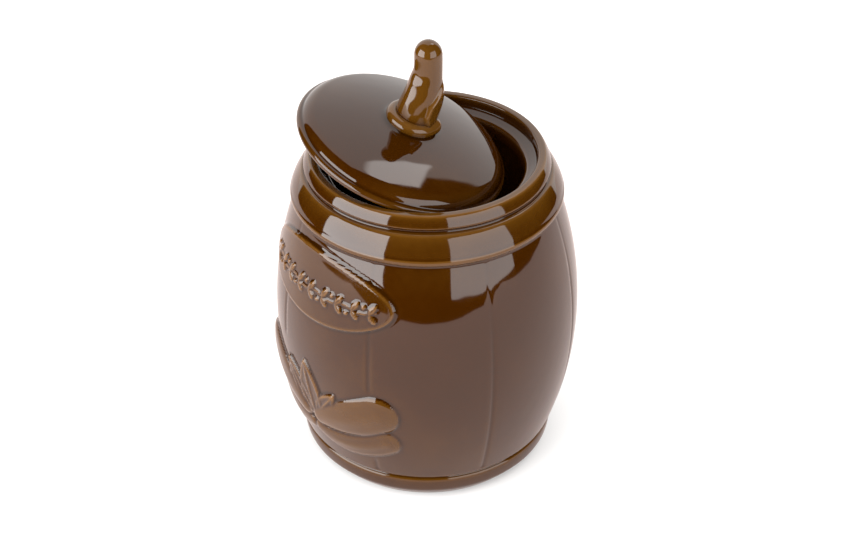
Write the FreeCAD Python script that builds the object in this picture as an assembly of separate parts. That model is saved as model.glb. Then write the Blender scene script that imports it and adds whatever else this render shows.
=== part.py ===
"""Ceramic pickle barrel with its loose lid, glazed stoneware, in millimetres.

The jar is one thrown and moulded solid: a barrel with eight staves, hooped by a band and a bead
at the top and by a base band, with a raised plaque on the front and a stepped mouth. The lid is
a second solid: a low dome with a gherkin for a knob. It lies askew on the mouth, as it is left
when the jar is opened: it rests on the lip and on the ledge inside it.

Origin: on the jar's axis, on the face it stands on. +Z is up, -Y is the decorated front.
"""
import FreeCAD, Part
import math
import os

V = FreeCAD.Vector
UP = V(0, 0, 1)

# --- jar, sizes that can be set one by one -------------------------------------------------
jar_height = 187.8          # standing face to the crest of the lip
belly_radius = 85.0         # at the widest point
belly_curve = 215.0         # radius of the belly's arc, seen from the side
belly_sag = 2.2             # how far the widest point lies under the middle of the staves
wall = 6.5                  # belly wall
floor = 8.0                 # floor thickness

foot_inset = 2.8            # of the foot's side, inside the staves' lower end
foot_round = 1.2
base_band_height = 16.0
base_band_bulge = 0.9       # how far the band stands out between its edges
base_band_stand = 0.2       # its upper edge, outside the staves
groove_depth = 1.2          # round the base, above its band
groove_width = 2.4

# --- hoop at the top: a bead, a sloping band and the rim -------------------------------------
bead_drop = 22.8            # lip crest down to the middle of the bead
bead_stand = 3.5            # its outermost line, outside the staves
bead_size = 2.4             # half its width
bead_shade = 0.7            # how far its upper edge lies inside its outermost line
bead_crease = 0.6           # height of the crease under it
band_top_drop = 8.0         # lip crest down to the sloping band's upper edge
band_taper = 6.8            # how far that edge lies inside the bead
band_bulge = 1.2
neck_groove_depth = 1.0     # under the rim
neck_groove_width = 2.6
rim_inset = 1.0             # outside of the rim, inside the sloping band's upper edge
rim_round = 4.8             # outer rounding of the lip, from the rim to the crest

# --- mouth: gallery, ledge and hole ----------------------------------------------------------
lip_flat = 1.2
lip_round = 1.4             # inner rounding of the lip
gallery_depth = 6.2         # lip crest down to the ledge, at the wall that the lid drops into
gallery_round = 1.3
ledge_width = 6.6           # from that wall to the hole
ledge_slope = 1.3           # fall of the ledge towards the hole
ledge_round = 2.6           # rounding at the hole's edge
mouth_wall = 6.0            # straight height of the hole's wall
shoulder_drop = 27.8        # lip crest down to where the inside meets the belly wall
floor_fillet = 12.0

# --- staves ----------------------------------------------------------------------------------
stave_count = 8
stave_phase = 74.5          # degrees from the front to one of the joints, towards +X
joint_radius = 1.5          # of the round tool that draws a joint
joint_depth = 0.9

# --- plaque on the front ---------------------------------------------------------------------
plaque_drop = 28.0          # its middle, under the middle of the bead
plaque_half_width = 52.0
plaque_half_height = 19.6
plaque_lift = 1.2

# --- gherkins and leaves in relief, under the plaque -------------------------------------------
# places are (round the belly from the front, height, half width)
upper_gherkin = [(9.0, 51.4, 7.5), (21.0, 56.9, 10.8), (35.0, 63.2, 13.2), (46.0, 69.3, 13.0)]
lower_gherkin = [(6.0, 39.0, 5.5), (16.0, 37.6, 7.2), (29.0, 39.2, 8.4), (42.0, 43.8, 9.2),
                 (50.0, 48.3, 9.4)]
upper_lift = 3.1            # how far each stands out
lower_lift = 2.5
gherkin_inset = 1.1         # of its middle line, inside the belly's surface
gherkin_step = 3.0          # between the sections that its surface passes through
# (base, tip, half width), each as (to the right of the front, height)
leaves = [
    ((3.0, 47.0), (-2.5, 88.0), 8.0),
    ((4.0, 50.0), (20.5, 74.5), 6.0),
    ((-2.0, 50.0), (-20.0, 78.0), 6.5),
]
leaf_lift = 2.0
leaf_base_width = 0.45      # of the leaf's half width
motif_top = 93.0            # the joints that would cross the relief end above it
motif_reach = 42.0          # degrees to either side of the front

# --- lid -------------------------------------------------------------------------------------
lid_clearance = 0.45        # all round, when it is dropped into the gallery
lid_wall = 5.5
lid_edge = 2.7              # height of the beaded edge
lid_edge_round = 0.9
lid_crease = 0.7            # how far the dome starts inside the edge
shoulder_round = 12.1       # radius of the lid's shoulder
shoulder_slope = 55.0       # degrees, where the shoulder meets the edge
dome_sphere = 135.0

lid_slide = 14.4            # how far the lid is pushed off the axis
lid_turn = 41.5             # degrees from +X of the side that dips into the mouth
rest_gap = 0.3              # between the lid and what it rests on

# --- gherkin knob and its stalk ring ----------------------------------------------------------
knob_lean_turn = 188.5      # degrees round the lid's axis, the side that the tip leans to
knob_step = 2.4             # between the sections that its surface passes through
# height above the dome, lean, radius
knob_sections = [
    (-3.0, 0.0, 10.6),
    (6.5, -0.4, 10.9),
    (17.4, -0.1, 10.2),
    (26.5, 1.3, 8.8),
    (33.8, 2.7, 7.6),
    (42.0, 5.4, 7.4),
]
ring_radius = 10.7          # middle line of the ring
ring_size = 3.8             # radius of its section
ring_height = 1.6           # its middle line over the dome
ring_end = -4.0             # degrees round the lid's axis, of its rounded end
ring_sweep = 305.0
stalk_end_radius = 4.3


# --- drawing helpers --------------------------------------------------------------------------
def at(radius, height):
    """Point of a half section, in the XZ plane."""
    return V(radius, 0, height)


def line(start, end):
    return Part.LineSegment(start, end).toShape()


def arc(start, middle, end):
    return Part.Arc(start, middle, end).toShape()


def round_arc(centre, radius, first, last):
    """Arc about a centre in the XZ plane, by angles in degrees from +X."""
    points = []
    for share in (0, 0.5, 1):
        a = math.radians(first + (last - first) * share)
        points.append(centre + V(radius * math.cos(a), 0, radius * math.sin(a)))
    return arc(*points)


def bulged(start, end, bulge):
    """Arc from start to end whose middle stands off the chord, to the right of its direction."""
    along = (end - start).normalize()
    out = V(along.z, 0, -along.x)
    return arc(start, (start + end) * 0.5 + out * bulge, end)


def joined(edges):
    """Closes the gaps between consecutive edges with straight lines, into one wire."""
    chain = []
    for edge in edges:
        start = edge.valueAt(edge.FirstParameter)
        if chain:
            last = chain[-1].valueAt(chain[-1].LastParameter)
            if last.distanceToPoint(start) > 1e-6:
                chain.append(line(last, start))
        chain.append(edge)
    last = chain[-1].valueAt(chain[-1].LastParameter)
    start = chain[0].valueAt(chain[0].FirstParameter)
    if last.distanceToPoint(start) > 1e-6:
        chain.append(line(last, start))
    return Part.Wire(chain)


def turned(edges):
    """Solid of revolution about Z."""
    return Part.Face(joined(edges)).revolve(V(0, 0, 0), UP, 360)


def between(before, start, end, after, share):
    """Point on the smooth curve from start to end, shaped by the points on either side."""
    point = []
    for b, s, e, a in zip(before, start, end, after):
        leave, arrive = (e - b) / 2, (a - s) / 2
        point.append(s + share * (leave + share * (3 * (e - s) - 2 * leave - arrive
                                                   + share * (leave + arrive - 2 * (e - s)))))
    return tuple(point)


# --- jar ---------------------------------------------------------------------------------------
bead_height = jar_height - bead_drop
band_top_height = jar_height - band_top_drop
staves_low = base_band_height + groove_width
staves_high = bead_height - bead_size - bead_crease
belly_height = (staves_low + staves_high) / 2 - belly_sag


def belly_at(height, inset=0.0):
    """Radius of the belly, or of a surface that lies inside it."""
    curve = belly_curve - inset
    return belly_radius - inset - curve + math.sqrt(curve ** 2 - (height - belly_height) ** 2)


def belly_arc(low, high, inset=0.0):
    middle = (low + high) / 2
    return arc(*[at(belly_at(z, inset), z) for z in (low, middle, high)])


bead_radius = belly_at(bead_height) + bead_stand
band_top_radius = bead_radius - band_taper
rim_radius = band_top_radius - rim_inset
crest_radius = rim_radius - rim_round
gallery_radius = crest_radius - lip_flat - lip_round
mouth_radius = gallery_radius - ledge_width


def base_edges():
    """Standing face, base band and the groove over it."""
    band_radius = belly_at(base_band_height)
    foot_radius = band_radius - foot_inset - foot_round
    foot_side = at(foot_radius + foot_round, foot_round)
    band_top = at(band_radius + base_band_stand, base_band_height)
    groove = at(band_radius - groove_depth, base_band_height + groove_width / 2)
    return [
        line(at(0, 0), at(foot_radius, 0)),
        round_arc(at(foot_radius, foot_round), foot_round, -90, 0),
        bulged(foot_side, band_top, base_band_bulge),
        arc(band_top, groove, at(belly_at(staves_low), staves_low)),
    ]


def hoop_edges():
    """Bead, sloping band, neck groove and rim, up to the crest of the lip."""
    bead_low = at(belly_at(staves_high) + base_band_stand, bead_height - bead_size)
    bead_high = at(bead_radius - bead_shade, bead_height + bead_size)
    band_top = at(band_top_radius, band_top_height)
    rim_low = at(rim_radius, band_top_height + neck_groove_width)
    groove = at(rim_radius - neck_groove_depth, band_top_height + neck_groove_width / 2)
    return [
        arc(bead_low, at(bead_radius, bead_height), bead_high),
        bulged(bead_high, band_top, band_bulge),
        arc(band_top, groove, rim_low),
        round_arc(at(crest_radius, jar_height - rim_round), rim_round, 0, 90),
    ]


def lip_edge():
    """Inner rounding of the lip, going inwards and down."""
    centre = at(gallery_radius + lip_round, jar_height - lip_round)
    return round_arc(centre, lip_round, 90, 180)


def ledge_edges():
    """Corner of the gallery and the rounding at the hole's edge."""
    ledge_height = jar_height - gallery_depth
    corner = at(gallery_radius - gallery_round, ledge_height + gallery_round)
    hole = at(mouth_radius + ledge_round, ledge_height - ledge_slope - ledge_round)
    return [
        round_arc(corner, gallery_round, 0, -80),
        round_arc(hole, ledge_round, 90, 180),
    ]


def mouth_edges():
    """Lip, gallery wall, ledge and hole, going inwards and down."""
    hole_top = jar_height - gallery_depth - ledge_slope - ledge_round
    hole = line(at(mouth_radius, hole_top), at(mouth_radius, hole_top - mouth_wall))
    return [lip_edge()] + ledge_edges() + [hole]


def inside_edges():
    """From the hole's wall out under the shoulder, down the belly and across the floor."""
    wall_low = floor + floor_fillet
    corner = belly_at(wall_low, wall)
    return [
        belly_arc(jar_height - shoulder_drop, wall_low, wall),
        round_arc(at(corner - floor_fillet, wall_low), floor_fillet, 0, -90),
        line(at(corner - floor_fillet, floor), at(0, floor)),
    ]


def jar_body():
    belly = belly_arc(staves_low, staves_high)
    return turned(base_edges() + [belly] + hoop_edges() + mouth_edges() + inside_edges())


def stave_joint(degrees):
    """Round tool that follows the belly's arc and cuts one joint between staves."""
    lowest = staves_low - groove_width / 2
    if abs((degrees + 180) % 360 - 180) < motif_reach:
        lowest = motif_top
    low = math.asin((lowest - belly_height) / belly_curve)
    high = math.asin((staves_high - belly_height) / belly_curve)
    path_radius = belly_curve + joint_radius - joint_depth
    tool = Part.makeTorus(path_radius, joint_radius, V(0, 0, 0), UP, 0, 360,
                          math.degrees(high - low))
    tool.rotate(V(0, 0, 0), UP, math.degrees(low))
    tool.rotate(V(0, 0, 0), V(1, 0, 0), 90)
    tool.translate(at(belly_radius - belly_curve, belly_height))
    tool.rotate(V(0, 0, 0), UP, degrees - 90)
    return tool


def plaque():
    """Raised oval on the front, a skin that follows the belly."""
    outline = Part.Ellipse(V(0, 0, 0), plaque_half_width, plaque_half_height).toShape()
    prism = Part.Face(Part.Wire([outline])).extrude(V(0, 0, belly_radius * 1.2))
    prism.rotate(V(0, 0, 0), V(1, 0, 0), 90)
    middle = bead_height - plaque_drop
    prism.translate(V(0, 0, middle))
    low, high = middle - plaque_half_height - wall, middle + plaque_half_height + wall
    skin = turned([belly_arc(low, high, -plaque_lift), belly_arc(high, low, wall / 2)])
    return skin.common(prism)


def on_belly(across, height):
    """Point of the belly's surface and the outward normal there, by distance round from the front."""
    turn = across / belly_radius
    centre = belly_radius - belly_curve
    radius = belly_at(height)
    slope = math.asin((height - belly_height) / belly_curve)
    point = V(radius * math.sin(turn), -radius * math.cos(turn), height)
    normal = V(math.cos(slope) * math.sin(turn), -math.cos(slope) * math.cos(turn), math.sin(slope))
    return point, normal


def gherkin_outline(keys):
    """Evenly spaced places along a gherkin's middle line, up to its rounded end."""
    line = [keys[0]] + keys + [keys[-1]]
    outline = []
    for n in range(1, len(line) - 2):
        length = math.dist(line[n][:2], line[n + 1][:2])
        steps = round(length / gherkin_step)
        outline += [between(*line[n - 1:n + 3], share=k / steps) for k in range(steps)]
    across, height, half = keys[-1]
    along = V(across - outline[-1][0], height - outline[-1][1], 0).normalize()
    steps = round(math.pi / 2 * half / gherkin_step)
    for k in range(steps):
        turn = math.pi / 2 * k / steps
        reach = half * math.sin(turn)
        outline.append((across + along.x * reach, height + along.y * reach, half * math.cos(turn)))
    return outline


def relief_gherkin(keys, lift, side):
    """Gherkin half sunk in the belly; side is 1 to the right of the front and -1 to its left."""
    outline = [(side * across, height, half) for across, height, half in gherkin_outline(keys)]
    widest = max(half for across, height, half in keys)
    rings = []
    for n, (across, height, half) in enumerate(outline):
        point, normal = on_belly(across, height)
        before = on_belly(*outline[max(n - 1, 0)][:2])[0]
        after = on_belly(*outline[min(n + 1, len(outline) - 1)][:2])[0]
        outwards = (after - before).normalize().cross(normal).normalize()
        centre = point - normal * gherkin_inset
        rise = (lift + gherkin_inset) * min(1, half / widest * 1.15)
        ring = Part.Ellipse(centre + outwards * half, centre + normal * rise, centre)
        rings.append(Part.Wire([ring.toShape()]))
    return Part.makeLoft(rings, True, False)


def relief_leaf(base, tip, half):
    """Pointed leaf, a skin that follows the belly."""
    start, end = V(base[0], base[1], 0), V(tip[0], tip[1], 0)
    across = (end - start).normalize().cross(V(0, 0, 1)) * half
    middle = (start + end) * 0.5
    foot = across * leaf_base_width
    sides = [Part.Arc(start + foot * k, middle + across * k, end).toShape() for k in (1, -1)]
    outline = Part.Wire([sides[0], sides[1].reversed(), line(start - foot, start + foot)])
    prism = Part.Face(outline).extrude(V(0, 0, belly_radius * 1.2))
    prism.rotate(V(0, 0, 0), V(1, 0, 0), 90)
    low, high = base[1] - half, tip[1] + half
    skin = turned([belly_arc(low, high, -leaf_lift), belly_arc(high, low, wall / 2)])
    return skin.common(prism)


def barrel():
    body = jar_body()
    for n in range(stave_count):
        body = body.cut(stave_joint(stave_phase + n * 360 / stave_count))
    raised = [plaque()] + [relief_leaf(*leaf) for leaf in leaves]
    for side in (1, -1):
        raised.append(relief_gherkin(upper_gherkin, upper_lift, side))
        raised.append(relief_gherkin(lower_gherkin, lower_lift, side))
    for piece in raised:
        body = body.fuse(piece)
    return body.removeSplitter()


# --- lid, drawn level with its axis on Z and its lower face at height 0 ---------------------------
lid_radius = gallery_radius - lid_clearance


def dome_edges():
    """Shoulder and dome from the edge inwards; returns the edges and the top's height."""
    edge = lid_radius - lid_crease
    steep = math.sin(math.radians(shoulder_slope))
    dome_reach = (edge - shoulder_round * steep) / (1 - shoulder_round / dome_sphere)
    flat = math.degrees(math.asin(dome_reach / dome_sphere))
    centre = at(edge, lid_edge) - at(
        shoulder_round * steep, shoulder_round * math.cos(math.radians(shoulder_slope)))
    shoulder = round_arc(centre, shoulder_round, 90 - shoulder_slope, 90 - flat)
    dome_centre = centre.z - (dome_sphere - shoulder_round) * math.cos(math.radians(flat))
    dome = round_arc(at(0, dome_centre), dome_sphere, 90 - flat, 90)
    return shoulder, dome, centre, flat, dome_centre


def lid_top():
    return dome_edges()[4] + dome_sphere


def lid_bead():
    """Rounded edge of the lid, from its lower face up to the crease under the shoulder."""
    return arc(at(lid_radius - lid_edge_round, 0), at(lid_radius, lid_edge / 2),
               at(lid_radius - lid_edge_round, lid_edge))


def lid_shell():
    shoulder, dome, centre, flat, dome_centre = dome_edges()
    inner_round = shoulder_round - lid_wall
    inner_low = math.degrees(math.asin(-centre.z / inner_round))
    inner_edge = centre.x + inner_round * math.cos(math.radians(inner_low))
    return turned([
        line(at(inner_edge, 0), at(lid_radius - lid_edge_round, 0)),
        lid_bead(),
        shoulder,
        dome,
        round_arc(at(0, dome_centre), dome_sphere - lid_wall, 90, 90 - flat),
        round_arc(centre, inner_round, 90 - flat, inner_low),
    ])


def knob_outline():
    """The knob's cross sections, as (height, lean, radius), evenly spaced up to the tip."""
    keys = [knob_sections[0]] + knob_sections + [knob_sections[-1]]
    outline = []
    for n in range(1, len(keys) - 2):
        steps = round((keys[n + 1][0] - keys[n][0]) / knob_step)
        outline += [between(*keys[n - 1:n + 3], share=k / steps) for k in range(steps)]
    height, lean, radius = knob_sections[-1]
    slant = (lean - outline[-1][1]) / (height - outline[-1][0])
    steps = round(math.pi / 2 * radius / knob_step)
    for k in range(steps):
        turn = math.pi / 2 * k / steps
        rise = radius * math.sin(turn)
        outline.append((height + rise, lean + rise * slant, radius * math.cos(turn)))
    return outline


def knob():
    """Gherkin that stands on the dome, bent towards its tip."""
    outline = knob_outline()
    rings = []
    for n, (height, lean, radius) in enumerate(outline):
        before = outline[max(n - 1, 0)]
        after = outline[min(n + 1, len(outline) - 1)]
        bend = math.degrees(math.atan2(after[1] - before[1], after[0] - before[0]))
        ring = Part.Wire([Part.Circle(V(0, 0, 0), UP, radius).toShape()])
        ring.rotate(V(0, 0, 0), V(0, 1, 0), bend)
        ring.translate(at(lean, lid_top() + height))
        rings.append(ring)
    gherkin = Part.makeLoft(rings, True, False)
    gherkin.rotate(V(0, 0, 0), UP, knob_lean_turn)
    return gherkin


def stalk_ring():
    """The gherkin's stalk, curled round its foot, with a rounded end."""
    stalk = Part.makeTorus(ring_radius, ring_size, V(0, 0, 0), UP, 0, 360, ring_sweep)
    stalk.rotate(V(0, 0, 0), UP, -ring_sweep)
    stalk = stalk.fuse(Part.makeSphere(stalk_end_radius, V(ring_radius, 0, 0)))
    stalk.rotate(V(0, 0, 0), UP, ring_end)
    stalk.translate(V(0, 0, lid_top() + ring_height))
    return stalk


# --- how the lid lies on the mouth ------------------------------------------------------------
def sampled(edges):
    """Points along the edges as (radius, height), from the axis outwards."""
    return sorted((p.x, p.z) for edge in edges for p in edge.discretize(Number=24))


def height_under(radius, outline):
    """Height of an outline at a radius, or None where it doesn't reach."""
    for (r0, z0), (r1, z1) in zip(outline, outline[1:]):
        if r0 <= radius <= r1 and r1 > r0:
            return z0 + (z1 - z0) * (radius - r0) / (r1 - r0)
    return None


def lying_height(outline, tilt):
    """Height of the lid's centre at which its edge comes down on an outline of the mouth."""
    lean = FreeCAD.Rotation(V(0, 1, 0), tilt)
    steps = 360
    highest = 0.0
    for edge in lid_bead().discretize(Number=7):
        for n in range(steps):
            a = math.pi * n / steps
            point = lean.multVec(V(edge.x * math.cos(a), edge.x * math.sin(a), edge.z))
            below = height_under(math.hypot(point.x - lid_slide, point.y), outline)
            if below is not None:
                highest = max(highest, below - point.z)
    return highest


def lid_lie():
    """Tilt and height at which the lid touches both the lip and the ledge."""
    lip = sampled([hoop_edges()[-1], lip_edge()])
    ledge = sampled(ledge_edges())
    level, steep = 1.0, 45.0
    while steep - level > 0.01:
        tilt = (level + steep) / 2
        if lying_height(ledge, tilt) > lying_height(lip, tilt):
            steep = tilt
        else:
            level = tilt
    return level, max(lying_height(lip, level), lying_height(ledge, level))


def lid():
    tilt, height = lid_lie()
    whole = lid_shell().fuse(knob()).fuse(stalk_ring()).removeSplitter()
    whole.rotate(V(0, 0, 0), V(0, 1, 0), tilt)
    whole.translate(V(-lid_slide, 0, height + rest_gap))
    whole.rotate(V(0, 0, 0), UP, lid_turn)
    return whole


def export(node, shape):
    solid = shape if shape.ShapeType == "Solid" else shape.Solids[0]
    print(node, "solids", len(shape.Solids), "valid", shape.isValid(),
          "cm3 %.1f" % (shape.Volume / 1000))
    solid.exportStep("parts/%s.step" % node)


os.makedirs("parts", exist_ok=True)
export("barrel", barrel())
export("lid", lid())
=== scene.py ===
"""Looks of the ceramic pickle barrel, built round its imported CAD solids.

Sizes are in millimetres until a mesh is made, and in metres for the stage and the camera. The frame
is the CAD's: +Z up, -Y the decorated front.
"""
import bpy
import math
import numpy as np
from mathutils import Matrix, Vector


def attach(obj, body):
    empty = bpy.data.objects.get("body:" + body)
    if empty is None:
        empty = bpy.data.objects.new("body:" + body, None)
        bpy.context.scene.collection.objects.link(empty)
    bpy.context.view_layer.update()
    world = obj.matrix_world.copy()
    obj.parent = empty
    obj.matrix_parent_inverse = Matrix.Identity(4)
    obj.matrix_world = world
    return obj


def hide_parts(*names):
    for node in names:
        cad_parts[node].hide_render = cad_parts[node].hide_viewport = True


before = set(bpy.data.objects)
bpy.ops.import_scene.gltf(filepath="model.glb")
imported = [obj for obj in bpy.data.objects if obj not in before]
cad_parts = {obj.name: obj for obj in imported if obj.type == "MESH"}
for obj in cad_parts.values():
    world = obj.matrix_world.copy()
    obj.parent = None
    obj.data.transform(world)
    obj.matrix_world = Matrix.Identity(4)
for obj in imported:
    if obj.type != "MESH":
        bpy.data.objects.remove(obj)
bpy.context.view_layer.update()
MM = 0.001

# --- sizes of the jar: its CAD's, with the band, rim and lip shaped within about 1 mm of it -------
BARREL_TOP_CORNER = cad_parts["barrel"].bound_box[6]   # its highest x, y and z, in metres
HEIGHT = round(BARREL_TOP_CORNER[2] / MM, 1)
BELLY_R = round(BARREL_TOP_CORNER[0] / MM, 1)
BELLY_Z, BELLY_CURVE = 88.0, 215.0          # height of the widest place, radius of the upright curve
WALL, FLOOR, FLOOR_CORNER = 6.5, 8.0, 12.0
NECK_DEPTH = 27.8                           # from the lip down to where the inside follows the belly
FOOT_INSET, FOOT_ROUND = 2.8, 1.2
BASE_BAND_TOP, BASE_BAND_BULGE, BASE_GROOVE_DEPTH = 16.0, 0.9, 1.2
STAVES = (18.4, 162.0)                      # heights of the staves' ends
BEAD_Z, BEAD_R, BEAD = 165.0, 74.24, 2.4    # its middle, and half its height
BAND_KNEE, BAND_TOP = (72.3, 170.9), (67.44, 178.8)     # (radius, height) on the sloping band
NECK_GROOVE_WIDTH, NECK_GROOVE_DEPTH = 2.6, 1.0
RIM_R, RIM_FACE_TOP = 66.44, (63.75, HEIGHT - 0.46)
LIP_CENTRE, LIP_OUTER_ROUND, LIP_INNER_ROUND = (62.93, HEIGHT - 1.0), 1.0, 1.4
LIP_INNER_R, GALLERY_DEPTH, GALLERY_FILLET = 59.04, 6.2, 1.3
MOUTH_R, MOUTH_ROUND, MOUTH_DEPTH = 52.44, 2.6, 6.0
BAND_BULGES, RIM_BULGE = (0.12, 0.22), 0.25
SOFT_STEP, BEAD_TOP_INSET = 0.2, 0.7        # small steps beside the grooves and the bead
GLAZE_ROUND = 0.42                          # how far glaze rounds the jar's corners

# --- joints between the staves and the plaque -----------------------------------------------------
JOINTS = [28.1, 74.5] + [121.2 + n * 44.5 for n in range(6)]        # degrees from the front
JOINT_DEPTH, JOINT_WIDTH = 0.46, 1.25
JOINT_FADE, JOINT_FADE_FROM, JOINT_FADE_TO = 0.65, 105, 150         # shallower higher up
PLAQUE_Z, PLAQUE_W, PLAQUE_H, PLAQUE_LIFT = 137.0, 52.0, 19.6, 1.2

# --- relief on the belly: u runs round the jar from the front, z up -------------------------------
UPPER_GHERKIN = [(7, 50.5, 6.5), (21, 56.9, 10.8), (35, 63.2, 13.2), (46, 69.3, 13.0)]  # u, z, half width
LOWER_GHERKIN = [(4, 39.5, 5.0), (14, 37.6, 7.0), (28, 38.9, 8.3), (42, 43.8, 9.2), (50, 48.3, 9.4)]
LEAF_LOBES = [((4, 48), (-2.5, 88), 9.0), ((5, 52), (20.5, 74.5), 6.5), ((-5, 52), (-20.5, 74.5), 6.5),
              ((1, 52), (-20, 80), 7.0), ((3, 50), (-24, 62), 5.5)]                     # foot, tip, width
UPPER_LIFT, LOWER_LIFT, LEAF_LIFT = 3.0, 2.1, 1.7

# --- the lid, and the slide, turn, tilt and height at which the CAD's lid lies --------------------
LID_R, LID_WALL, LID_EDGE_Z, LID_EDGE_INSET = 58.59, 5.5, 1.7, 0.9
LID_CREASE = (56.3, 4.4)                    # between the beaded edge and the shoulder
LID_SLIDE, LID_TURN, LID_TILT, LID_Z = 14.4, 41.5, 19.66, 188.09
SHOULDER_R, SHOULDER_SLOPE, DOME_R = 8.5, 72.0, 170.0
SHOULDER_CENTRE = (LID_CREASE[0] - SHOULDER_R * math.sin(math.radians(SHOULDER_SLOPE)),
                   LID_CREASE[1] - SHOULDER_R * math.cos(math.radians(SHOULDER_SLOPE)))
SHOULDER_FLAT = math.degrees(math.asin(SHOULDER_CENTRE[0] / (DOME_R - SHOULDER_R)))
DOME_CENTRE = SHOULDER_CENTRE[1] - (DOME_R - SHOULDER_R) * math.cos(math.radians(SHOULDER_FLAT))
LID_TOP = DOME_CENTRE + DOME_R
LID_GLAZE_ROUND = 0.35

# --- the knob: (height, lean, radius) along its bent axis, and the ring of its stalk --------------
KNOB = [(-2.0, 0.0, 9.4), (2.0, -0.2, 10.6), (6.5, -0.4, 10.9), (17.4, -0.1, 10.2), (26.5, 1.3, 8.8),
        (33.8, 2.7, 7.6), (42.0, 5.4, 7.4)]
KNOB_LEAF_EDGE = [(1, -38), (5, -52), (10, -68), (17, -66), (23, -40), (28, -12)]   # height, angle seen
KNOB_TURN = 188.5
KNOB_RIBS, KNOB_RIB_HEIGHT, KNOB_LEAF, KNOB_LEAF_RIDGE = 5, 0.12, 1.0, 0.75
KNOB_WAIST, KNOB_WAIST_Z, KNOB_WAIST_REACH = 0.9, 3.2, 1.8
STALK_TURN, STALK_START = 305.0, -4
STALK_R, STALK_RING_R, STALK_END_SWELL = 3.5, 10.9, 0.75
FILLET_LIFT, FILLET_FROM, POOL_R = 1.5, 13.6, 14.4                  # glaze gathered round the ring

# --- glaze: "thin" is 0 on plain walls, more where it has run off an edge, less where it pools -----
THIN_BY_STEP, THIN_BY_BEND, THIN_BY_RELIEF = 2.0, 0.6, 0.12
KNOB_THIN = 0.5
RUN_OFF_EDGES = (                           # height of the edge, reach below it, amount
    (BAND_TOP[1], 3.75, 0.55),
    (HEIGHT - 0.4, 1.25, 0.6),
    (BEAD_Z + 1.5, 1.875, 0.55),
    (BASE_BAND_TOP + 0.8, 1.875, 0.5),
)
GLAZE_DEPTHS = (                            # from the deepest pool to the thinnest edge
    (0.00, (0.0060, 0.0018, 0.0002, 1)),
    (0.25, (0.0140, 0.0040, 0.0001, 1)),
    (0.48, (0.0250, 0.0066, 0.0001, 1)),
    (0.72, (0.0600, 0.0230, 0.0020, 1)),
    (1.00, (0.1200, 0.0540, 0.0140, 1)),
)

# --- the studio -----------------------------------------------------------------------------------
VIEW_TURN = 50.0                            # degrees from the front, towards +X, of the camera's side
CAMERA_UP, CAMERA_AWAY, CAMERA_AIM_Z = 36.03, 0.950, 0.10985
CAMERA_LENS, CAMERA_SENSOR, CAMERA_SHIFT = 71.31, 36.0, 0.000234
PANEL_AWAY, PANEL_LOW, PANEL_HIGH = 1.6, -0.05, 1.30
PANELS = (("panel_left", -60, 27, 6.6), ("panel_right", 42.5, 25.5, 3.2))   # angle, half width, brightness
# the second table colour is painted shade: the paper's darker, warmer colour where the glaze mirrors it
TABLE_WHITE, TABLE_IN_GLAZE = (0.86, 0.86, 0.86, 1), (0.69, 0.60, 0.58, 1)
TABLE_NEAR, TABLE_FAR, TABLE_HALF, FLOOR_HALF = 0.60, -0.9, 0.9, 6
BACKDROP_LIGHT, BOX_LIGHT, ROOM_LIGHT = 1.45, 4.8, 1.6
ROOM_COLOR = (1, 0.985, 0.97, 1)


# --- curves ---------------------------------------------------------------------------------------
def arc3(p, m, q, n=40):
    """Points of the circle's arc from p over m to q."""
    (ax, ay), (bx, by), (cx, cy) = p, m, q
    d = 2 * (ax * (by - cy) + bx * (cy - ay) + cx * (ay - by))
    aa, bb, cc = ax * ax + ay * ay, bx * bx + by * by, cx * cx + cy * cy
    ux = (aa * (by - cy) + bb * (cy - ay) + cc * (ay - by)) / d
    uy = (aa * (cx - bx) + bb * (ax - cx) + cc * (bx - ax)) / d
    r = math.hypot(ax - ux, ay - uy)
    first, middle, last = (math.atan2(y - uy, x - ux) for x, y in (p, m, q))
    turn = (last - first) % (2 * math.pi)
    if (middle - first) % (2 * math.pi) > turn:
        turn -= 2 * math.pi
    t = first + turn * np.linspace(0, 1, n)
    return np.stack([ux + r * np.cos(t), uy + r * np.sin(t)], 1)


def bulged(p, q, bulge):
    """Arc from p to q whose middle stands off to the right of its direction."""
    p, q = np.array(p, float), np.array(q, float)
    d = (q - p) / np.linalg.norm(q - p)
    return arc3(p, (p + q) / 2 + bulge * np.array([d[1], -d[0]]), q)


def round_arc(centre, r, first, last, n=24):
    """Arc round a centre from one angle to another, in degrees."""
    t = np.radians(np.linspace(first, last, n))
    return np.stack([centre[0] + r * np.cos(t), centre[1] + r * np.sin(t)], 1)


def belly_at(z, inset=0.0):
    """Radius of the belly at a height, or of the surface that lies inset under it."""
    curve = BELLY_CURVE - inset
    return BELLY_R - inset - curve + np.sqrt(curve ** 2 - (z - BELLY_Z) ** 2)


def curve_through(points, n=24):
    """Smooth curve through the points, sampled at n places."""
    p = np.array(points, float)
    q = np.concatenate([[2 * p[0] - p[1]], p, [2 * p[-1] - p[-2]]])
    out = []
    for t in np.linspace(0, len(p) - 1 - 1e-9, n):
        k = int(t)
        f = t - k
        a, b, c, d = q[k:k + 4]
        bends = (2 * a - 5 * b + 4 * c - d) * f ** 2 + (3 * b - a - 3 * c + d) * f ** 3
        out.append(0.5 * (2 * b + (c - a) * f + bends))
    return [tuple(v) for v in out]


def smooth(x, low, high):
    """0 up to low, 1 from high, with a soft step between."""
    t = np.clip((x - low) / (high - low), 0, 1)
    return t * t * (3 - 2 * t)


def lengths_along(line):
    return np.linalg.norm(np.diff(line, axis=0), axis=1)


def bell(n, step, radius):
    """Weights of a blur n steps to either side."""
    return np.exp(-0.5 * (np.arange(-n, n + 1) * step / radius) ** 2)


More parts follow.
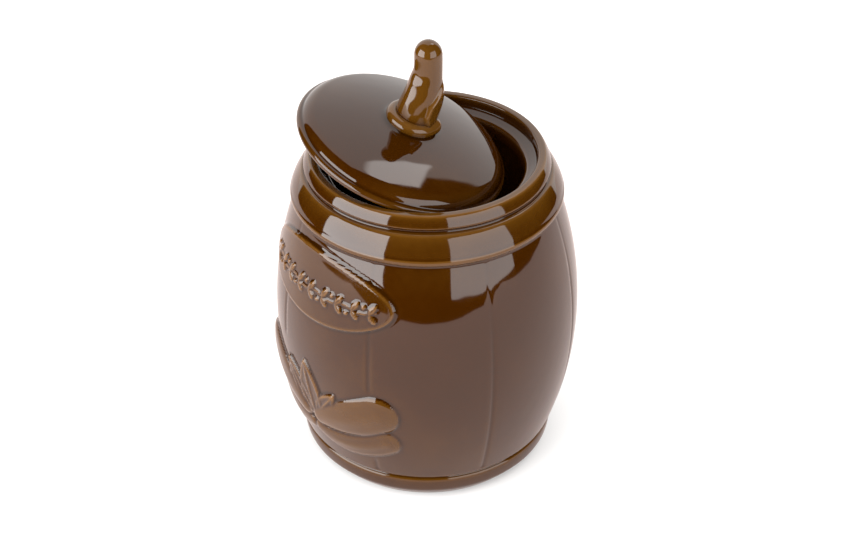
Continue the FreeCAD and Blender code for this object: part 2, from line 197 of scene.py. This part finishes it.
def soften(parts, radius, step=0.1):
    """One even polyline through the parts, with its corners rounded as glaze rounds them."""
    line = np.concatenate(parts)
    line = line[np.r_[True, lengths_along(line) > 1e-6]]
    s = np.r_[0, np.cumsum(lengths_along(line))]
    even = np.arange(0, s[-1], step)
    line = np.stack([np.interp(even, s, line[:, k]) for k in (0, 1)], 1)
    n = int(4 * radius / step)
    kernel = bell(n, step, radius)
    kernel /= kernel.sum()
    padded = np.concatenate([2 * line[0] - line[n:0:-1], line, 2 * line[-1] - line[-2:-n - 2:-1]])
    return np.stack([np.convolve(padded[:, k], kernel, "valid") for k in (0, 1)], 1)


def bend_of(line, radius=0.5, step=0.1):
    """Signed curvature of an even polyline, in 1/mm, smoothed; outward corners are positive."""
    d = np.gradient(line, axis=0) / step
    turn = np.unwrap(np.arctan2(d[:, 1], d[:, 0]))
    n = int(3 * radius / step)
    kernel = bell(n, step, radius)
    return np.convolve(np.pad(np.gradient(turn) / step, n, mode="edge"), kernel / kernel.sum(), "valid")


def spaced(line, bands, step=0.1):
    """Indices into an even polyline, spaced as bands of (arc length up to, spacing) say."""
    s, out, k = 0.0, [0], 0
    total = (len(line) - 1) * step
    while True:
        while k < len(bands) - 1 and s >= bands[k][0]:
            k += 1
        s += bands[k][1]
        if s >= total - 0.5 * bands[k][1]:
            break
        out.append(int(round(s / step)))
    return np.array(out + [len(line) - 1])


def profile_of(parts, glaze_round):
    """Glazed outline through parts of (points, spacing of the rows), and how much it bends at each row."""
    lines = [points for points, _ in parts]
    line = soften(lines, glaze_round)
    gaps = [0.0] + [float(np.linalg.norm(b[0] - a[-1])) for a, b in zip(lines, lines[1:])]
    marks = np.cumsum([lengths_along(p).sum() + gap for p, gap in zip(lines, gaps)])
    rows = spaced(line, list(zip(marks, [spacing for _, spacing in parts])))
    return line[rows], bend_of(line)[rows]


# --- meshes ---------------------------------------------------------------------------------------
def make_mesh(name, verts, faces, thin):
    """Smooth object from vertices in mm, with the glaze's thinness at each."""
    me = bpy.data.meshes.new(name)
    me.from_pydata((np.asarray(verts) * MM).tolist(), [], faces)
    me.validate()
    attribute = me.attributes.new("thin", "FLOAT", "POINT")
    attribute.data.foreach_set("value", np.asarray(thin, np.float32))
    me.polygons.foreach_set("use_smooth", [True] * len(me.polygons))
    me.update()
    o = bpy.data.objects.new(name, me)
    bpy.context.scene.collection.objects.link(o)
    return o


def grid_faces(rows, cols, start=0, flip=False):
    """Quads of a grid whose columns close on themselves."""
    i, j = np.meshgrid(np.arange(rows - 1), np.arange(cols), indexing="ij")
    a = start + i * cols + j
    b = start + i * cols + (j + 1) % cols
    quads = np.stack([a, b, b + cols, a + cols], -1).reshape(-1, 4)
    return (quads[:, ::-1] if flip else quads).tolist()


def fan(centre, ring, cols, flip=False):
    """Triangles from one vertex to a ring of vertices that starts at an index."""
    pairs = [(ring + (j + 1) % cols, ring + j) for j in range(cols)]
    return [[centre, b, a] if flip else [centre, a, b] for a, b in pairs]


# --- relief ---------------------------------------------------------------------------------------
def along(points, u, z):
    """Where each place lies by a polyline of (u, z, half width).

    Gives the distance in half widths, the share along the line, the signed distance and the half width.
    """
    best = np.full(u.shape, 1e9)
    share = np.zeros(u.shape)
    side = np.zeros(u.shape)
    wide = np.ones(u.shape)
    n = len(points) - 1
    for k in range(n):
        (u0, z0, w0), (u1, z1, w1) = points[k], points[k + 1]
        du, dz = u1 - u0, z1 - z0
        t = np.clip(((u - u0) * du + (z - z0) * dz) / (du * du + dz * dz), 0, 1)
        d = np.hypot(u - u0 - t * du, z - z0 - t * dz)
        w = w0 + (w1 - w0) * t
        near = d / w < best
        best = np.where(near, d / w, best)
        share = np.where(near, (k + t) / n, share)
        side = np.where(near, np.sign((u - u0) * dz - (z - z0) * du) * d, side)
        wide = np.where(near, w, wide)
    return best, share, side, wide


def gherkin(points, u, z, lift):
    """Half-buried rounded body along a bent axis, with faint ribs."""
    rib_height, rib_turns = 0.10, 7.0
    q, share, side, wide = along(curve_through(points), u, z)
    body = lift * np.sqrt(np.clip(1 - q ** 2, 0, 1))
    ribs = rib_height * np.cos(side / wide * rib_turns) * smooth(1 - q, 0.12, 0.4)
    return body + ribs * smooth(share, 0.15, 0.4)


def lobe(base, tip, width, u, z):
    """Pointed leaf lobe with a raised edge, a dished middle and a vein."""
    edge_width, dish_depth, vein_height, vein_width = 1.9, 0.45, 0.75, 0.75
    (bu, bz), (tu, tz) = base, tip
    length = math.hypot(tu - bu, tz - bz)
    du, dz = (tu - bu) / length, (tz - bz) / length
    s = ((u - bu) * du + (z - bz) * dz) / length
    t = (u - bu) * dz - (z - bz) * du
    half = width * np.clip(np.sin(math.pi * np.clip(s, 0, 1) ** 0.8), 0, 1) ** 0.75 + 1e-3
    inside = np.where((s > 0) & (s < 1), np.clip(1 - np.abs(t) / half, 0, 1), 0)
    from_edge = inside * half
    body = LEAF_LIFT * (1 - (1 - smooth(from_edge, 0, edge_width)) ** 1.5)
    vein = np.exp(-(t / vein_width) ** 2) * smooth(s, 0.0, 0.15) * (1 - smooth(s, 0.75, 0.98))
    dish = dish_depth * smooth(from_edge, 1.2, 4.0)
    return np.where(inside > 0, body + vein_height * vein * smooth(from_edge, 0.3, 2.0) - dish, 0)


def motif(u, z):
    """Leaves in the middle, two gherkins on each side."""
    side = np.abs(u)
    parts = [gherkin(LOWER_GHERKIN, side, z, LOWER_LIFT), gherkin(UPPER_GHERKIN, side, z, UPPER_LIFT)]
    parts += [lobe(base, tip, width, u, z) for base, tip, width in LEAF_LOBES]
    return np.maximum.reduce(parts + [np.zeros(u.shape)])


def garland(u, z):
    """Row of small paired leaves and berries on a waving stem, on the plaque."""
    spacing, middle, each_side, stem_half = 10.4, 134.8, 4, 47
    stem_height, stem_width, stem_wave = 0.75, 0.62, 0.9
    leaf_length, leaf_width, leaf_height, fold_depth, fold_width = 6.6, 2.0, 1.3, 0.4, 0.35
    berry_r, berry_height, berry_back, berry_up = 1.4, 1.2, 3.3, 3.1
    k = np.round(u / spacing)
    on = np.abs(k) <= each_side
    du = u - k * spacing
    dz = z - middle
    off_stem = (dz - stem_wave * np.sin(u / spacing * math.pi)) / stem_width
    h = stem_height * np.exp(-off_stem ** 2) * smooth(stem_half - np.abs(u), 0, 1.5)
    for up in (1, -1):
        s = (du * 0.62 + dz * up * 0.78) / leaf_length
        t = du * 0.78 - dz * up * 0.62
        half = leaf_width * np.clip(np.sin(math.pi * np.clip(s, 0, 1) ** 0.85), 0, 1) ** 0.7 + 1e-3
        q = np.clip(1 - (t / half) ** 2, 0, 1) * ((s > 0) & (s < 1))
        fold = fold_depth * np.exp(-(t / fold_width) ** 2) * (q > 0)
        h = np.maximum(h, on * leaf_height * np.sqrt(q) - on * fold)
    berry = np.hypot(du + berry_back, dz - berry_up * np.cos(k * math.pi))
    return np.maximum(h, on * berry_height * np.sqrt(np.clip(1 - (berry / berry_r) ** 2, 0, 1)))


def joints_at(phi, z):
    """How near each place is to the middle of a joint between staves: 1 on it, 0 away from it."""
    near = np.zeros(phi.shape)
    for degrees in JOINTS:
        d = ((phi - math.radians(degrees) + math.pi) % (2 * math.pi) - math.pi) * belly_at(z)
        near = np.maximum(near, np.exp(-(d / JOINT_WIDTH) ** 2))
    return near


def relief(phi, z):
    """Height over the belly in mm, with phi in radians from the front."""
    u = phi * BELLY_R
    x = BELLY_R * np.sin(phi)
    front = np.cos(phi) > 0
    # distance in from the plaque's oval edge
    oval = np.sqrt((x / PLAQUE_W) ** 2 + ((z - PLAQUE_Z) / PLAQUE_H) ** 2)
    slope = np.sqrt((x / PLAQUE_W ** 2) ** 2 + ((z - PLAQUE_Z) / PLAQUE_H ** 2) ** 2)
    slope = slope / np.maximum(oval, 1e-6)
    edge = np.where(front, (1 - oval) / np.maximum(slope, 1e-6), -99)
    plateau = smooth(edge, -0.7, 0.8)
    rim = 0.1 * np.exp(-((edge - 1.0) / 0.9) ** 2)
    gutter = 0.12 * np.exp(-((edge + 1.3) / 0.8) ** 2)
    # the joints stop at the plaque and at the gherkins
    by_motif = smooth(1.06 - np.sqrt((u / 66) ** 2 + ((z - 58) / 36) ** 2), 0, 0.14) * front
    fade = 1 - JOINT_FADE * smooth(z, JOINT_FADE_FROM, JOINT_FADE_TO)
    h = -JOINT_DEPTH * joints_at(phi, z) * fade * (1 - plateau) * (1 - by_motif)
    h += PLAQUE_LIFT * plateau + rim - gutter
    h += garland(u, z) * smooth(edge, 0.5, 2.0)
    h += np.where(front, motif(u, z), 0)
    low, high = STAVES
    return h * smooth(z, low + 0.4, low + 3.5) * (1 - smooth(z, high - 2.4, high - 0.4))


# --- barrel ---------------------------------------------------------------------------------------
def outer_profile():
    """(points, spacing of rows) from the middle of the foot up the outside and into the mouth."""
    low, high = STAVES
    base_r = float(belly_at(BASE_BAND_TOP))
    foot = base_r - FOOT_INSET - FOOT_ROUND
    base_top = (base_r + SOFT_STEP, BASE_BAND_TOP)
    base_groove = (base_r - BASE_GROOVE_DEPTH, (BASE_BAND_TOP + low) / 2)
    z = np.linspace(low, high, 400)
    bead_low = (float(belly_at(high)) + SOFT_STEP, BEAD_Z - BEAD)
    bead_high = (BEAD_R - BEAD_TOP_INSET, BEAD_Z + BEAD)
    rim_z = BAND_TOP[1] + NECK_GROOVE_WIDTH
    groove = (RIM_R - NECK_GROOVE_DEPTH, BAND_TOP[1] + NECK_GROOVE_WIDTH / 2)
    ledge = HEIGHT - GALLERY_DEPTH
    mouth_z = ledge - GALLERY_FILLET - MOUTH_ROUND
    lip_inner = (LIP_INNER_R + LIP_INNER_ROUND, HEIGHT - LIP_INNER_ROUND)
    gallery = (LIP_INNER_R - GALLERY_FILLET, ledge + GALLERY_FILLET)
    return [
        (np.array([(0, 0), (foot, 0)], float), 11.0),
        (round_arc((foot, FOOT_ROUND), FOOT_ROUND, -90, 0, 8), 0.5),
        (bulged((foot + FOOT_ROUND, FOOT_ROUND), base_top, BASE_BAND_BULGE), 1.3),
        (arc3(base_top, base_groove, (float(belly_at(low)), low), 16), 0.5),
        (np.stack([belly_at(z), z], 1), 0.95),
        (arc3(bead_low, (BEAD_R, BEAD_Z), bead_high, 16), 0.5),
        (bulged(bead_high, BAND_KNEE, BAND_BULGES[0]), 1.1),
        (bulged(BAND_KNEE, BAND_TOP, BAND_BULGES[1]), 1.1),
        (arc3(BAND_TOP, groove, (RIM_R, rim_z), 16), 0.45),
        (bulged((RIM_R + SOFT_STEP, rim_z), RIM_FACE_TOP, RIM_BULGE), 0.6),
        (round_arc(LIP_CENTRE, LIP_OUTER_ROUND, 35, 90, 10), 0.4),
        (round_arc(lip_inner, LIP_INNER_ROUND, 90, 180, 12), 0.5),
        (round_arc(gallery, GALLERY_FILLET, 0, -80, 12), 0.8),
        (round_arc((MOUTH_R + MOUTH_ROUND, mouth_z), MOUTH_ROUND, 90, 180, 12), 0.6),
        (np.array([(MOUTH_R, mouth_z - MOUTH_DEPTH)], float), 2.0),
    ]


def columns():
    """Angles from the front: close together over the relief and at each joint."""
    front, front_columns, other_columns = math.radians(64), 212, 60
    clear = math.radians(2.6)
    by_joint = (-3.6, -2.2, -1.5, -1.0, -0.5, 0, 0.5, 1.0, 1.5, 2.2, 3.2, 4.4, 6)    # mm from its middle
    close = list(np.linspace(-front, front, front_columns, endpoint=False))
    wide = list(np.linspace(front, 2 * math.pi - front, other_columns, endpoint=False))
    for degrees in JOINTS:
        a = math.radians(degrees)
        if front < a % (2 * math.pi) < 2 * math.pi - front:
            wide = [angle for angle in wide if abs(angle - a) > clear]
            wide += [a + d / BELLY_R for d in by_joint]
    return np.array(sorted(close + wide))


def blurred(h):
    """Each height averaged with its neighbours, up and down and round the jar, three times."""
    for _ in range(3):
        for axis in (0, 1):
            h = (np.roll(h, 1, axis) + h * 2 + np.roll(h, -1, axis)) / 4
    return h


def barrel_thinness(h, bend, r, z):
    """Thin glaze on ridges and upper edges, deep glaze in hollows."""
    thin = np.clip((h - blurred(h)) * THIN_BY_STEP, -1, 1) + np.clip(bend * THIN_BY_BEND, -1, 1)
    outside = r > LIP_INNER_R + 1.6
    for edge, reach, amount in RUN_OFF_EDGES:
        thin = thin + amount * np.exp(-np.abs(edge - z) / reach) * (z < edge + 0.5) * outside
    return thin + THIN_BY_RELIEF * np.clip(h, 0, 2.5)


def inside_profile(mouth_end):
    """Sparse outline of the inside, from the mouth's wall down to the middle of the floor."""
    glaze_round, skipped, every = 0.9, 20, 28       # the last two count the even line's points
    low = FLOOR + FLOOR_CORNER
    corner_r = float(belly_at(low, WALL)) - FLOOR_CORNER
    z = np.linspace(HEIGHT - NECK_DEPTH, low, 36)
    wall = np.stack([belly_at(z, WALL), z], 1)
    corner = round_arc((corner_r, low), FLOOR_CORNER, 0, -90)
    line = soften([mouth_end - [[0, 0.6]], wall, corner, [[0, FLOOR]]], glaze_round)
    line = line[np.r_[np.arange(skipped, len(line) - skipped, every), len(line) - 1]]
    line[-1] = (0, FLOOR)
    return line


def turned(profile, angles):
    """Vertices of an outline turned round the jar's axis, ring by ring, from the front."""
    r, z = profile[:, :1], profile[:, 1:] + 0 * angles[None, :]
    return np.stack([r * np.sin(angles), -r * np.cos(angles), z], -1).reshape(-1, 3)


def build_barrel():
    profile, bend = profile_of(outer_profile(), GLAZE_ROUND)
    phi = columns()
    cols = len(phi)
    r = profile[1:, :1] + np.zeros((1, cols))
    z = profile[1:, 1:] + np.zeros((1, cols))
    around = phi[None, :] + np.zeros_like(r)
    from_front = (around + math.pi) % (2 * math.pi) - math.pi
    on_belly = (z > STAVES[0]) & (z < STAVES[1]) & (r > MOUTH_R + 8)
    h = np.where(on_belly, relief(from_front, z), 0)
    thin = barrel_thinness(h, bend[1:, None], r, z)
    r = r + h
    outer = np.stack([r * np.sin(around), -r * np.cos(around), z], -1).reshape(-1, 3)
    faces = fan(0, 1, cols)
    faces += grid_faces(len(r), cols, 1)
    # the inside has fewer columns, and one row of wide faces joins it to the mouth's wall
    every = 4
    coarse = np.arange(0, cols, every)
    n = len(coarse)
    inner = inside_profile(profile[-1:])
    mouth_ring = 1 + (len(r) - 1) * cols
    start = 1 + len(outer)
    inside = turned(inner[:-1], phi[coarse])
    for j, first in enumerate(coarse):
        last = coarse[j + 1] if j + 1 < n else cols
        fine = [mouth_ring + c % cols for c in range(first, last + 1)]
        faces.append(fine + [start + (j + 1) % n, start + j])
    faces += grid_faces(len(inner) - 1, n, start)
    centre = start + len(inside)
    faces += fan(centre, centre - n, n, flip=True)
    verts = np.concatenate([[[0, 0, profile[0, 1]]], outer, inside, [[0, 0, FLOOR]]])
    glaze_thin = np.zeros(len(verts))
    glaze_thin[1:1 + thin.size] = thin.reshape(-1)
    return make_mesh("barrel_body", verts, faces, glaze_thin)


# --- lid ------------------------------------------------------------------------------------------
def placed(verts):
    """The lid's own vertices, tilted, slid off the axis and turned to where the lid lies."""
    turn = Matrix.Rotation(math.radians(LID_TURN), 4, "Z")
    tilt = Matrix.Rotation(math.radians(LID_TILT), 4, "Y")
    m = np.array(turn @ Matrix.Translation((-LID_SLIDE, 0, LID_Z)) @ tilt)
    return np.asarray(verts, float) @ m[:3, :3].T + m[:3, 3]


def lid_profile():
    """(points, spacing of rows) from under the dome's middle, round the edge and over the top."""
    flat = 90 - SHOULDER_FLAT
    inner_r = SHOULDER_R - LID_WALL
    inner_low = math.degrees(math.asin(-SHOULDER_CENTRE[1] / inner_r))
    inner_edge = SHOULDER_CENTRE[0] + inner_r * math.cos(math.radians(inner_low))
    edge_low = (LID_R - LID_EDGE_INSET, 0)
    edge_high = (LID_CREASE[0] + LID_EDGE_INSET, LID_CREASE[1] - 0.2)
    return [
        (round_arc((0, DOME_CENTRE), DOME_R - LID_WALL, 90, flat, 60), 2.4),
        (round_arc(SHOULDER_CENTRE, inner_r, flat, inner_low, 16), 1.2),
        (np.array([(inner_edge, 0), edge_low], float), 0.8),
        (arc3(edge_low, (LID_R, LID_EDGE_Z), edge_high, 18), 0.4),
        (round_arc(SHOULDER_CENTRE, SHOULDER_R, 90 - SHOULDER_SLOPE, flat, 30), 0.6),
        (round_arc((0, DOME_CENTRE), DOME_R, flat, 90, 80), 1.0),
    ]


def build_lid_shell():
    profile, bend = profile_of(lid_profile(), LID_GLAZE_ROUND)
    profile[0, 0] = profile[-1, 0] = 0
    # glaze gathers in a fillet round the foot of the stalk ring
    upper = np.arange(len(profile)) > len(profile) * 0.5
    r = profile[:, 0]
    fillet = FILLET_LIFT * np.exp(-np.clip(r - FILLET_FROM, 0, 99)) * (r > 10)
    profile[:, 1] += np.where(upper, fillet, 0)
    cols = 240
    t = np.linspace(0, 2 * math.pi, cols, endpoint=False)
    body = profile[1:-1]
    radius, height = body[:, :1], body[:, 1:] + 0 * t
    grid = np.stack([radius * np.cos(t), radius * np.sin(t), height], -1).reshape(-1, 3)
    verts = np.concatenate([[[0, 0, profile[0, 1]]], grid, [[0, 0, profile[-1, 1]]]])
    end = len(verts) - 1
    faces = fan(0, 1, cols)
    faces += grid_faces(len(body), cols, 1)
    faces += fan(end, end - cols, cols, flip=True)
    from_axis = np.hypot(grid[:, 0], grid[:, 1])
    pool = 0.7 * np.exp(-(from_axis - POOL_R) ** 2 / 3.0) * (grid[:, 2] > 10)
    thin = np.clip(np.repeat(bend[1:-1], cols) * THIN_BY_BEND, -1, 1) - pool
    return make_mesh("lid_dome", placed(verts), faces, np.r_[0, thin, 0])


def knob_outline():
    """(height, lean, radius) up the knob's axis, closed by a round tip."""
    outline = curve_through(KNOB, 90)
    h, lean, rad = outline[-1]
    slant = (lean - outline[-2][1]) / (h - outline[-2][0])
    for a in np.linspace(0, math.pi / 2, 18)[1:]:
        outline.append((h + rad * math.sin(a), lean + slant * rad * math.sin(a), rad * math.cos(a)))
    return np.array(outline)


def build_knob():
    """Gherkin knob: rings along a bent axis, with shallow ribs and a leaf laid against its side."""
    outline = knob_outline()
    cols = 120
    t = np.linspace(0, 2 * math.pi, cols, endpoint=False)
    # angle round the knob, 0 to the right and -90 to the near side as the picture shows it
    seen = (np.degrees(t) + KNOB_TURN + LID_TURN - VIEW_TURN + 180) % 360 - 180
    verts, thin = [], []
    for n, (h, lean, rad) in enumerate(outline):
        before, after = outline[max(n - 1, 0)], outline[min(n + 1, len(outline) - 1)]
        bend = math.atan2(after[1] - before[1], after[0] - before[0])
        ribs = KNOB_RIB_HEIGHT * np.cos(np.radians(seen) * KNOB_RIBS + 0.6)
        ribs = ribs * smooth(h, 6, 14) * (1 - smooth(h, 38, 47))
        edge = np.interp(h, *zip(*KNOB_LEAF_EDGE))
        leaf = smooth(seen, edge - 6, edge + 5) * (1 - smooth(seen, 40, 62)) * (1 - smooth(h, 23, 29))
        ridge = np.exp(-((seen - edge - 4) / 7) ** 2) * (1 - smooth(h, 24, 30))
        waist = KNOB_WAIST * math.exp(-((h - KNOB_WAIST_Z) / KNOB_WAIST_REACH) ** 2)
        ring = rad + ribs + KNOB_LEAF * leaf + KNOB_LEAF_RIDGE * ridge - waist
        x, y = ring * np.cos(t), ring * np.sin(t)
        verts.append(np.stack([x * math.cos(bend) + lean, y, h - x * math.sin(bend)], 1))
        thin.append(KNOB_THIN + 0.4 * ridge - 0.8 * math.exp(-((h - 4) / 2.5) ** 2))
    x, y, z = np.concatenate(verts).T
    c, s = math.cos(math.radians(KNOB_TURN)), math.sin(math.radians(KNOB_TURN))
    verts = np.stack([x * c - y * s, x * s + y * c, z + LID_TOP], 1)
    faces = grid_faces(len(outline), cols)
    faces.append(list(range(cols))[::-1])
    return make_mesh("knob_gherkin", placed(verts), faces, np.concatenate(thin))


def build_stalk():
    """The stalk, curled round the knob's foot, thicker at its rounded end."""
    around, tip_rings, cols = 150, 11, 40
    t = np.linspace(0, 2 * math.pi, cols, endpoint=False)
    verts = []

    def ring(shrink, ahead):
        """One ring of the tube, shrunk and moved ahead along it."""
        rr = ring_r + rad * shrink * np.cos(t)
        circle = np.stack([rr * math.cos(a), rr * math.sin(a), z + rad * shrink * np.sin(t)], 1)
        return circle + np.array([-math.sin(a), math.cos(a), 0]) * ahead

    for share in np.arange(around) / (around - 1):
        a = math.radians(STALK_START - STALK_TURN * (1 - share))
        rad = STALK_R + 0.35 * share + STALK_END_SWELL * math.exp(-((1 - share) / 0.045) ** 2)
        ring_r = STALK_RING_R + 0.5 * smooth(share, 0.9, 1.0)
        z = LID_TOP + 1.7 + 0.8 * smooth(share, 0.86, 1.0)
        verts.append(ring(1, 0))
    for k in np.linspace(0, math.pi / 2, tip_rings + 1)[1:]:
        verts.append(ring(math.cos(k), math.sin(k) * rad * 0.9))
    rings = around + tip_rings
    faces = grid_faces(rings, cols, flip=True)
    faces.append(list(range(cols)))
    thin = np.tile(KNOB_THIN + 0.3 * np.sin(t), rings)
    return make_mesh("lid_stalk", placed(np.concatenate(verts)), faces, thin)


# --- shader nodes ---------------------------------------------------------------------------------
def calc(tree, operation, *values):
    """Output of a new Math node, whose inputs are numbers or other nodes' outputs."""
    node = tree.nodes.new("ShaderNodeMath")
    node.operation = operation
    for socket, value in zip(node.inputs, values):
        if isinstance(value, (int, float)):
            socket.default_value = value
        else:
            tree.links.new(value, socket)
    return node.outputs[0]


def noise(tree, scale, detail):
    """Output of a new noise texture that stays with the object."""
    coordinates = tree.nodes.new("ShaderNodeTexCoord")
    node = tree.nodes.new("ShaderNodeTexNoise")
    node.inputs["Scale"].default_value = scale
    node.inputs["Detail"].default_value = detail
    tree.links.new(coordinates.outputs["Object"], node.inputs["Vector"])
    return node.outputs["Fac"]


def remap(tree, value, old, new=(0.0, 1.0), soft=False):
    """Output of a new Map Range node from one range to another."""
    node = tree.nodes.new("ShaderNodeMapRange")
    if soft:
        node.interpolation_type = "SMOOTHSTEP"
    tree.links.new(value, node.inputs["Value"])
    for socket, number in zip(node.inputs[1:5], (*old, *new)):
        socket.default_value = number
    return node.outputs[0]


def step(tree, value, low, high):
    """Output that goes softly from 0 at low to 1 at high."""
    return remap(tree, value, (low, high), soft=True)


def until(tree, value, low, high):
    """Output that goes softly from 1 at low to 0 at high."""
    return calc(tree, "SUBTRACT", 1.0, step(tree, value, low, high))


# --- glaze ----------------------------------------------------------------------------------------
def glaze_material():
    """Glossy brown glaze, darker where it is deep and golden where it is thin."""
    m = bpy.data.materials.new("brown_glaze")
    m.use_nodes = True
    tree = m.node_tree
    shader = tree.nodes["Principled BSDF"]
    shader.inputs["IOR"].default_value = 1.52
    shader.inputs["Roughness"].default_value = 0.05
    shader.inputs["Specular IOR Level"].default_value = 0.5
    thin = tree.nodes.new("ShaderNodeAttribute")
    thin.attribute_name = "thin"
    clouds = remap(tree, noise(tree, 14, 3), (0.3, 0.7), (0.38, 0.52))
    depth = calc(tree, "MULTIPLY_ADD", thin.outputs["Fac"], 0.42, clouds)
    depth = calc(tree, "MULTIPLY_ADD", noise(tree, 260, 2), 0.06, depth)
    ramp = tree.nodes.new("ShaderNodeValToRGB")
    ends = ramp.color_ramp.elements
    for place, (position, color) in zip(ends, (GLAZE_DEPTHS[0], GLAZE_DEPTHS[-1])):
        place.position, place.color = position, color
    for position, color in GLAZE_DEPTHS[1:-1]:
        ends.new(position).color = color
    tree.links.new(depth, ramp.inputs[0])
    tree.links.new(ramp.outputs[0], shader.inputs["Base Color"])
    # the glaze's surface is never quite even
    bump = tree.nodes.new("ShaderNodeBump")
    bump.inputs["Strength"].default_value = 0.06
    bump.inputs["Distance"].default_value = 0.002
    tree.links.new(noise(tree, 60, 1), bump.inputs["Height"])
    tree.links.new(bump.outputs[0], shader.inputs["Normal"])
    return m


# --- stage ----------------------------------------------------------------------------------------
def side_vector(degrees):
    """Horizontal direction at an angle from the camera's side, positive to its right."""
    a = math.radians(VIEW_TURN + degrees)
    return Vector((math.sin(a), -math.cos(a), 0))


def panel(name, angle, half_width, brightness):
    """Soft upright studio panel that faces the object; its angle and half width are in degrees."""
    middle = Vector((0, 0, (PANEL_LOW + PANEL_HIGH) / 2))
    light = bpy.data.lights.new(name, "AREA")
    light.shape = "RECTANGLE"
    light.size = 2 * PANEL_AWAY * math.tan(math.radians(half_width))
    light.size_y = PANEL_HIGH - PANEL_LOW
    light.energy = brightness * light.size * light.size_y * math.pi
    o = bpy.data.objects.new(name, light)
    o.location = side_vector(angle) * PANEL_AWAY + middle
    o.rotation_euler = (middle - o.location).to_track_quat("-Z", "Y").to_euler()
    bpy.context.scene.collection.objects.link(o)


def table_paper():
    """White paper, which the glaze mirrors darker and warmer than the camera sees it: painted shade, a
    darker, warmer copy of the paper that only reflections get.
    """
    m = bpy.data.materials.new("white_table_shaded_in_glaze")
    m.use_nodes = True
    tree = m.node_tree
    shader = tree.nodes["Principled BSDF"]
    shader.inputs["Roughness"].default_value = 0.8
    shader.inputs["Specular IOR Level"].default_value = 0.1
    path = tree.nodes.new("ShaderNodeLightPath")
    mix = tree.nodes.new("ShaderNodeMix")
    mix.data_type = "RGBA"
    factor, plain, mirrored = mix.inputs[0], mix.inputs[6], mix.inputs[7]
    plain.default_value = TABLE_WHITE
    mirrored.default_value = TABLE_IN_GLAZE
    # painted shade: rays that the glaze reflects see the darker, warmer copy of the paper
    tree.links.new(path.outputs["Is Glossy Ray"], factor)
    tree.links.new(mix.outputs[2], shader.inputs["Base Color"])
    return m


def plane(name, near, far, half, z, material):
    """Flat rectangle from near to far along the camera's side."""
    out, right, lift = side_vector(0), side_vector(90), Vector((0, 0, z))
    corners = [out * far + right * half, out * far - right * half,
               out * near - right * half, out * near + right * half]
    me = bpy.data.meshes.new(name)
    me.from_pydata([tuple(c + lift) for c in corners], [], [[0, 1, 2, 3]])
    me.materials.append(material)
    o = bpy.data.objects.new(name, me)
    bpy.context.scene.collection.objects.link(o)
    return o


def build_room():
    """World light: an even white, but a dark room with a lit backdrop where the glaze mirrors it."""
    world = bpy.data.worlds.new("studio")
    bpy.context.scene.world = world
    world.use_nodes = True
    tree = world.node_tree
    coordinates = tree.nodes.new("ShaderNodeTexCoord")

    def share(direction):
        """How far the direction that is looked in goes along another one, from -1 to 1."""
        dot = tree.nodes.new("ShaderNodeVectorMath")
        dot.operation = "DOT_PRODUCT"
        tree.links.new(coordinates.outputs["Generated"], dot.inputs[0])
        dot.inputs[1].default_value = direction
        return dot.outputs["Value"]

    towards, sideways = share(side_vector(0)), share(side_vector(90))
    # the room is dark in front and overhead; the white backdrop ends on a slant on either side
    edge = calc(tree, "MULTIPLY_ADD", calc(tree, "ABSOLUTE", sideways), 0.8, towards)
    backdrop = until(tree, edge, -0.015, 0.015)
    # soft box high up behind the object, to its right
    across = calc(tree, "MULTIPLY_ADD", sideways, 0.40, towards)
    box = calc(tree, "MULTIPLY", until(tree, across, -0.135, -0.125), step(tree, across, -0.347, -0.317))
    box = calc(tree, "MULTIPLY", box, step(tree, sideways, 0.22, 0.30))
    box = calc(tree, "MULTIPLY", box, until(tree, sideways, 0.525, 0.545))
    mirrored = calc(tree, "MAXIMUM", calc(tree, "MULTIPLY", backdrop, BACKDROP_LIGHT),
                    calc(tree, "MULTIPLY", box, BOX_LIGHT))
    glossy = tree.nodes.new("ShaderNodeLightPath").outputs["Is Glossy Ray"]
    even = calc(tree, "MULTIPLY", calc(tree, "SUBTRACT", 1.0, glossy), ROOM_LIGHT)
    background = tree.nodes["Background"]
    tree.links.new(calc(tree, "MULTIPLY_ADD", mirrored, glossy, even), background.inputs["Strength"])
    background.inputs["Color"].default_value = ROOM_COLOR


def build_stage():
    white = table_paper()
    plane("table", TABLE_NEAR, TABLE_FAR, TABLE_HALF, -0.0003, white)
    floor = plane("floor", FLOOR_HALF, -FLOOR_HALF, FLOOR_HALF, -0.0012, white)
    floor.visible_glossy = False
    for name, angle, half_width, brightness in PANELS:
        panel(name, angle, half_width, brightness)
    build_room()
    bpy.context.scene.view_settings.view_transform = "Standard"


def build_camera():
    """Lens and place worked out from the object's proportions in the picture."""
    camera = bpy.data.cameras.new("camera")
    camera.lens = CAMERA_LENS
    camera.sensor_width = CAMERA_SENSOR
    camera.shift_x = CAMERA_SHIFT
    o = bpy.data.objects.new("camera", camera)
    up = math.radians(CAMERA_UP)
    aim = Vector((0, 0, CAMERA_AIM_Z))
    towards = side_vector(0) * math.cos(up) + Vector((0, 0, math.sin(up)))
    o.location = aim + towards * CAMERA_AWAY
    o.rotation_euler = (aim - o.location).to_track_quat("-Z", "Y").to_euler()
    bpy.context.scene.collection.objects.link(o)
    bpy.context.scene.camera = o


# --- the whole ------------------------------------------------------------------------------------
glaze = glaze_material()
pieces = {"barrel": [build_barrel()], "lid": [build_lid_shell(), build_knob(), build_stalk()]}
for node, members in pieces.items():
    for piece in members:
        piece.data.materials.append(glaze)
        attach(piece, "root")
        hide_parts(node)
build_stage()
build_camera()
